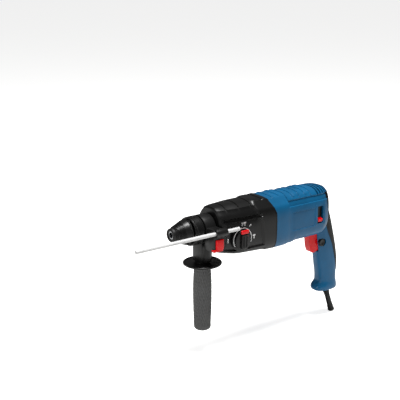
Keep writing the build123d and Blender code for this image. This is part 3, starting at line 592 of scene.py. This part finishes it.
# %% Rear cover
COVER_EDGE = [(330, 27.2), (331, 18), (330.5, 11), (333, 0), (341, -34), (349, -56), (362, -83),
              (369, -107), (375.5, -133), (386, -144.5)]
only(motor_shell)
bpy.ops.object.duplicate()
cover = bpy.context.object
in_edit(cover, lambda: bpy.ops.transform.shrink_fatten(value=0.5 * MM))
bpy.ops.mesh.primitive_circle_add(vertices=len(COVER_EDGE) + 2, fill_type="NGON")
region = bpy.context.object
corners = COVER_EDGE + [(420, -144.5), (420, 27.2)]
for vertex, (x, z) in zip(region.data.vertices, corners):
    vertex.co = (x * MM, -45 * MM, z * MM)
in_edit(region,
        lambda: bpy.ops.mesh.extrude_region_move(TRANSFORM_OT_translate={"value": (0, 90 * MM, 0)}),
        lambda: bpy.ops.mesh.normals_make_consistent(inside=False))
combined(cover, region, "INTERSECT")
done(cover, "handle_cover_grip", "housing", "soft_grip", "handle_cover", smooth=28)
done(motor_shell, "motor_shell", "housing", "blue_housing", "motor_housing", smooth=28)

# %% [markdown]
# ## The dial
# The dial turns on a round boss. A white line printed on the boss shows its sweep, and plain
# hammer and drill signs mark its places. The knob is a disc with a bar across it for the fingers,
# and a red button in the bar's end frees it.

# %% Boss and printed signs
DIAL = (124.8, -20.2)
boss = drum(21.8, (DIAL[0], -34, DIAL[1]), (DIAL[0], -39.0, DIAL[1]), 96)
rounded(boss, 0.9)
done(boss, "dial_boss", "housing", "black_housing")

bpy.ops.mesh.primitive_plane_add(size=1)
arc = bpy.context.object
arc.scale = (1.1 * MM, 0.25 * MM, 1)
bpy.ops.object.transform_apply(scale=True)
for vertex in arc.data.vertices:
    x, y, _ = vertex.co
    angle = math.radians(-125)
    radius = 19.6 * MM + x
    vertex.co = (DIAL[0] * MM + radius * math.sin(angle), -39.05 * MM + y,
                 DIAL[1] * MM + radius * math.cos(angle))
in_edit(arc,
        lambda: bpy.ops.mesh.spin(steps=64, angle=math.radians(240), axis=(0, -1, 0),
                                  center=(DIAL[0] * MM, 0, DIAL[1] * MM)),
        lambda: bpy.ops.mesh.normals_make_consistent(inside=False))
done(arc, "dial_line", "housing", "light_rod", material=WHITE_PRINT)


def side_y(x, z):
    """The y of the recessed side panel, on the dial side."""
    half_width, top, bottom, level, above, below = eased(GEAR_STATIONS, x)
    rise, power = (top - level, above) if z >= level else (level - bottom, below)
    return -half_width * (1 - (abs(z - level) / rise) ** power) ** (1 / power) + 3.4


def sign(name, x, z, bars):
    """A printed sign of small bars: (middle x, middle z, width, height), in millimetres."""
    pieces = []
    for bx, bz, w, h in bars:
        y = side_y(x + bx, z + bz)
        pieces.append(cube((x + bx - w / 2, y - 0.2, z + bz - h / 2),
                           (x + bx + w / 2, y + 0.6, z + bz + h / 2)))
    only(pieces[0])
    for piece in pieces:
        piece.select_set(True)
    bpy.ops.object.join()
    done(bpy.context.object, name, "housing", "light_rod", material=WHITE_PRINT)


HAMMER = [(0, 2.4, 5.6, 2.2), (0, -1.2, 1.6, 5.2)]
DRILL = [(0, 2.8, 3.0, 1.2), (0, 1.0, 3.0, 1.2), (0, -0.8, 3.0, 1.2), (0, -2.9, 1.5, 2.0)]
sign("sign_hammer", 153.0, -21.5, HAMMER)
sign("sign_drill", 99.5, -21.0, DRILL)
sign("sign_hammer_drill", 130.2, 4.4, [(a + 2.6, b, c, d) for a, b, c, d in HAMMER]
     + [(a - 2.8, b, c, d) for a, b, c, d in DRILL])
sign("sign_set", 144.5, 0.4, [(0, 0, 4.2, 1.0), (1.4, 1.4, 1.0, 1.6), (-1.4, -1.4, 1.0, 1.6)])

# %% Knob, button and marker
knob = drum(17.0, (DIAL[0], -39.4, DIAL[1]), (DIAL[0], -42.4, DIAL[1]), 96)
rounded(knob, 0.8)
bar = cube((DIAL[0] - 6.5, -46.5, DIAL[1] - 16.4), (DIAL[0] + 6.5, -41, DIAL[1] + 10.4))
rounded(bar, 1.3)
combined(knob, bar, "UNION")
for side in (-1, 1):
    middle = DIAL[0] + side * 3.2
    hollow = cube((middle - 1.4, -50, DIAL[1] - 13), (middle + 1.4, -44.6, DIAL[1] + 7))
    rounded(hollow, 1.2)
    combined(knob, hollow, "DIFFERENCE")
done(knob, "dial_knob", "mode_dial", "black_housing", "mode_dial", smooth=30)

dial_cap = softened("dial_button", 0.7)
done(dial_cap, "dial_cap", "dial_button", "red_control", "dial_button")

bpy.ops.mesh.primitive_cylinder_add(vertices=3, radius=1.9 * MM, depth=0.3 * MM,
                                    location=((DIAL[0] + 8.0) * MM, -42.45 * MM, (DIAL[1] + 5.5) * MM),
                                    rotation=(math.pi / 2, 0, 0))
done(bpy.context.object, "dial_marker", "mode_dial", "red_control")

# %% [markdown]
# ## The chuck
# Everything at the nose is turned, so each piece is an outline spun round the spindle: the pull-back
# sleeve with its fine grip rings, the quick-change ring with its notches, and the rubber dust cap.

# %% Sleeve, ring and dust cap
sleeve_outline = [(8.0, 12.7), (8.0, 13.9), (8.5, 14.4)]
for k in range(6):
    x = 10.0 + 1.9 * k
    radius = 14.6 + (x - 9) * 0.36
    sleeve_outline += [(x, radius), (x + 0.3, radius - 0.8), (x + 0.9, radius - 0.7),
                       (x + 1.2, radius + 0.4)]
sleeve_outline += [(22.5, 19.6), (28.0, 21.6), (30.0, 22.2), (30.4, 21.8), (30.9, 21.8),
                   (31.3, 22.4), (33.1, 22.5), (33.5, 22.1), (33.5, 16.2), (14.0, 16.2),
                   (14.0, 12.7)]
sleeve = spun(sleeve_outline)
done(sleeve, "pull_sleeve", "sds_sleeve", "black_housing", "sds_sleeve", smooth=25)

ring_outline = [(36.0, 22.9), (36.0, 24.4), (36.6, 25.0), (39.0, 25.2), (39.4, 24.7), (40.0, 24.7),
                (40.4, 25.3), (50.0, 25.5), (50.4, 25.0), (51.0, 25.0), (51.4, 25.4), (54.4, 25.3),
                (55.0, 24.7), (55.0, 20.04), (45.0, 20.04), (45.0, 22.9)]
ring = spun(ring_outline)
for k in range(12):
    angle = 2 * math.pi * (k + 0.5) / 12
    out = Vector((0, math.cos(angle), math.sin(angle)))
    notch = drum(1.5, Vector((45.5, 0, 0)) + out * 24.6, Vector((45.5, 0, 0)) + out * 27, 12)
    combined(ring, notch, "DIFFERENCE")
done(ring, "change_ring", "quick_change_ring", "black_housing", "quick_change_ring", smooth=25)

cap_outline = [(4.6, 5.05), (0.0, 8.3), (0.0, 10.2), (0.4, 11.0), (1.2, 11.7), (4.6, 12.2),
               (5.4, 11.7), (5.8, 11.2), (6.4, 11.2), (6.8, 11.8), (7.3, 13.3), (7.6, 13.4),
               (7.6, 9.5), (7.0, 5.05)]
done(spun(cap_outline), "nose_cap", "spindle", "rubber", "dust_cap", smooth=30)

# %% [markdown]
# ## The side handle
# A collar clamps round the neck and carries the depth rod. The grip hangs below it: a wide flange
# that guards the hand, and a sleeve of dark grey elastomer covered in small diamonds.

# %% Collar, flange and rod
collar = softened("handle_collar", 0.8, 3)
done(collar, "clamp_collar", "side_handle", "dark_grey", "handle_collar", smooth=32)

GRIP_X, FLANGE_Z = 67.4, -60.6
flange_outline = [(2.7, 4.0), (2.7, 12.6), (2.3, 13.4), (1.2, 13.4), (0.9, 12.9), (0.3, 12.9),
                  (0.0, 14.6), (-0.5, 17), (-0.9, 31), (0.2, 32.3), (0.4, 33.2), (-0.2, 34.0),
                  (-2.2, 34.0), (-3.0, 33.0), (-3.3, 30.0), (-3.4, 16.0), (-4.0, 11.0),
                  (-117.4, 11.0), (-117.4, 6.1), (-25.4, 6.1), (-25.4, 4.0)]
flange = spun([(FLANGE_Z + a, r) for a, r in flange_outline], axis="Z", centre=(GRIP_X, 0, 0))
done(flange, "hand_guard", "grip", "black_housing", "grip_core", smooth=30)

rod = drum(3.3, (-95.3, -42.5, 1.5), (114.7, -42.5, 1.5), 48)
rounded(rod, 0.6)
done(rod, "depth_gauge", "depth_rod", "light_rod", "depth_rod")

# %% Diamond grip
DIAMONDS_AROUND, DIAMONDS_UP = 22, 18
GRIP_TOP, GRIP_LOW = -64.6, -187.0
GRIP_SHOULDER = -178.0
GRIP_ROWS, GRIP_SHOULDER_ROW = 200, 184
GRIP_AROUND = 8 * DIAMONDS_AROUND
GRIP_PROFILE = [(-GRIP_TOP, 14.2), (80.0, 15.5), (100.0, 16.4), (124.0, 16.5), (150.0, 16.0),
                (-GRIP_SHOULDER, 15.1)]


def grip_radius(z):
    """The radius at a height: the profile, then a rounded end below the shoulder."""
    if z >= GRIP_SHOULDER:
        return eased(GRIP_PROFILE, -z)[0]
    t = min(1.0, (z - GRIP_SHOULDER) / (GRIP_LOW - GRIP_SHOULDER))
    return GRIP_PROFILE[-1][1] * (1 - t ** 3.0) ** 0.5


def wave(value):
    """A triangle wave from 0 to 1 and back."""
    return 1 - abs(2 * (value % 1.0) - 1)


def grip_point(i, j):
    if i <= GRIP_SHOULDER_ROW:
        z = GRIP_TOP + (GRIP_SHOULDER - GRIP_TOP) * i / GRIP_SHOULDER_ROW
    else:
        quarter = (i - GRIP_SHOULDER_ROW) / (GRIP_ROWS - GRIP_SHOULDER_ROW)
        z = GRIP_SHOULDER + (GRIP_LOW - GRIP_SHOULDER) * math.sin(math.pi / 2 * quarter)
    turn = j / GRIP_AROUND
    up = (z - GRIP_TOP) / (GRIP_SHOULDER - GRIP_TOP) * DIAMONDS_UP
    fade = ramp(z, -174.0, -69.0, 3.0, 2.5)
    diamond = min(wave(turn * DIAMONDS_AROUND + up / 2), wave(turn * DIAMONDS_AROUND - up / 2))
    radius = grip_radius(z) - 1.0 * fade * (1 - min(1.0, 1.6 * diamond))
    radius = max(radius, 0.0)
    angle = 2 * math.pi * turn
    return GRIP_X + radius * math.cos(angle), radius * math.sin(angle), z


grip = wrapped(grip_point, GRIP_ROWS, GRIP_AROUND)
done(grip, "diamond_grip", "grip", "grey_grip", "side_grip", smooth=60)

# %% Depth-stop button
stop = cube((63.0, -46.5, -27.0), (79.0, -37.0, -9.0))
rounded(stop, 1.4)
lip = cube((57.5, -45.6, -30.4), (78.0, -39.0, -26.0))
rounded(lip, 1.0)
combined(stop, lip, "UNION")
done(stop, "stop_button", "depth_button", "red_control", "depth_button")

# %% [markdown]
# ## The handle's controls
# The trigger is a tall curved paddle, and the lock button is a small round cap with a dished face.
# The trigger and the reversing lever have the right shapes in CAD, so they only get the rounding
# that the mould would give them.

# %% Trigger, lock button, lever and plate
done(softened("trigger", 1.7, 4), "trigger_paddle", "trigger", "red_control", "trigger", smooth=40)
lock = drum(7.6, (LOCK_X, -15.4, LOCK_Z), (LOCK_X, -11.8, LOCK_Z), 64)
rounded(lock, 0.9)
bpy.ops.mesh.primitive_uv_sphere_add(segments=48, ring_count=24, radius=16 * MM,
                                     location=(LOCK_X * MM, -30.6 * MM, LOCK_Z * MM))
combined(lock, bpy.context.object, "DIFFERENCE")
done(lock, "lock_cap", "lock_on_button", "black_housing", "lock_on_button")
done(softened("direction_lever", 0.3), "reverse_tab", "brush_ring", "red_control", "direction_lever")

back_plate = cube((304.0, -30.3, -26.4), (318.0, -29.3, 5.6))
done(back_plate, "slot_floor", "housing", "black_housing")

# %% [markdown]
# ## The cable boot
# The boot is rubber, thick where it leaves the handle and thinner further down, with rings cut in it
# so that it bends evenly. Its outline is spun round its own axis, and then the piece is tilted.

# %% Cable boot
boot_outline = [(-10.0, 4.0), (-10.0, 6.5), (4.4, 6.5), (4.6, 7.2), (6.0, 7.3)]
for k in range(4):
    a = 8.0 + 3.4 * k
    r = 7.0 - 0.5 * k
    boot_outline += [(a, r), (a + 0.5, r - 0.9), (a + 1.4, r - 1.0), (a + 1.9, r - 0.25)]
boot_outline += [(24.0, 5.1), (40.0, 5.35), (52.0, 6.0), (57.4, 6.5), (58.0, 6.1), (58.0, 4.0)]
boot = spun([(-a, r) for a, r in boot_outline], axis="Z", around=48)
boot.rotation_euler = (0, -BOOT_TILT, 0)
boot.location = BOOT_TOP * MM
done(boot, "cable_boot_ribbed", "housing", "rubber", "cable_boot", smooth=30)
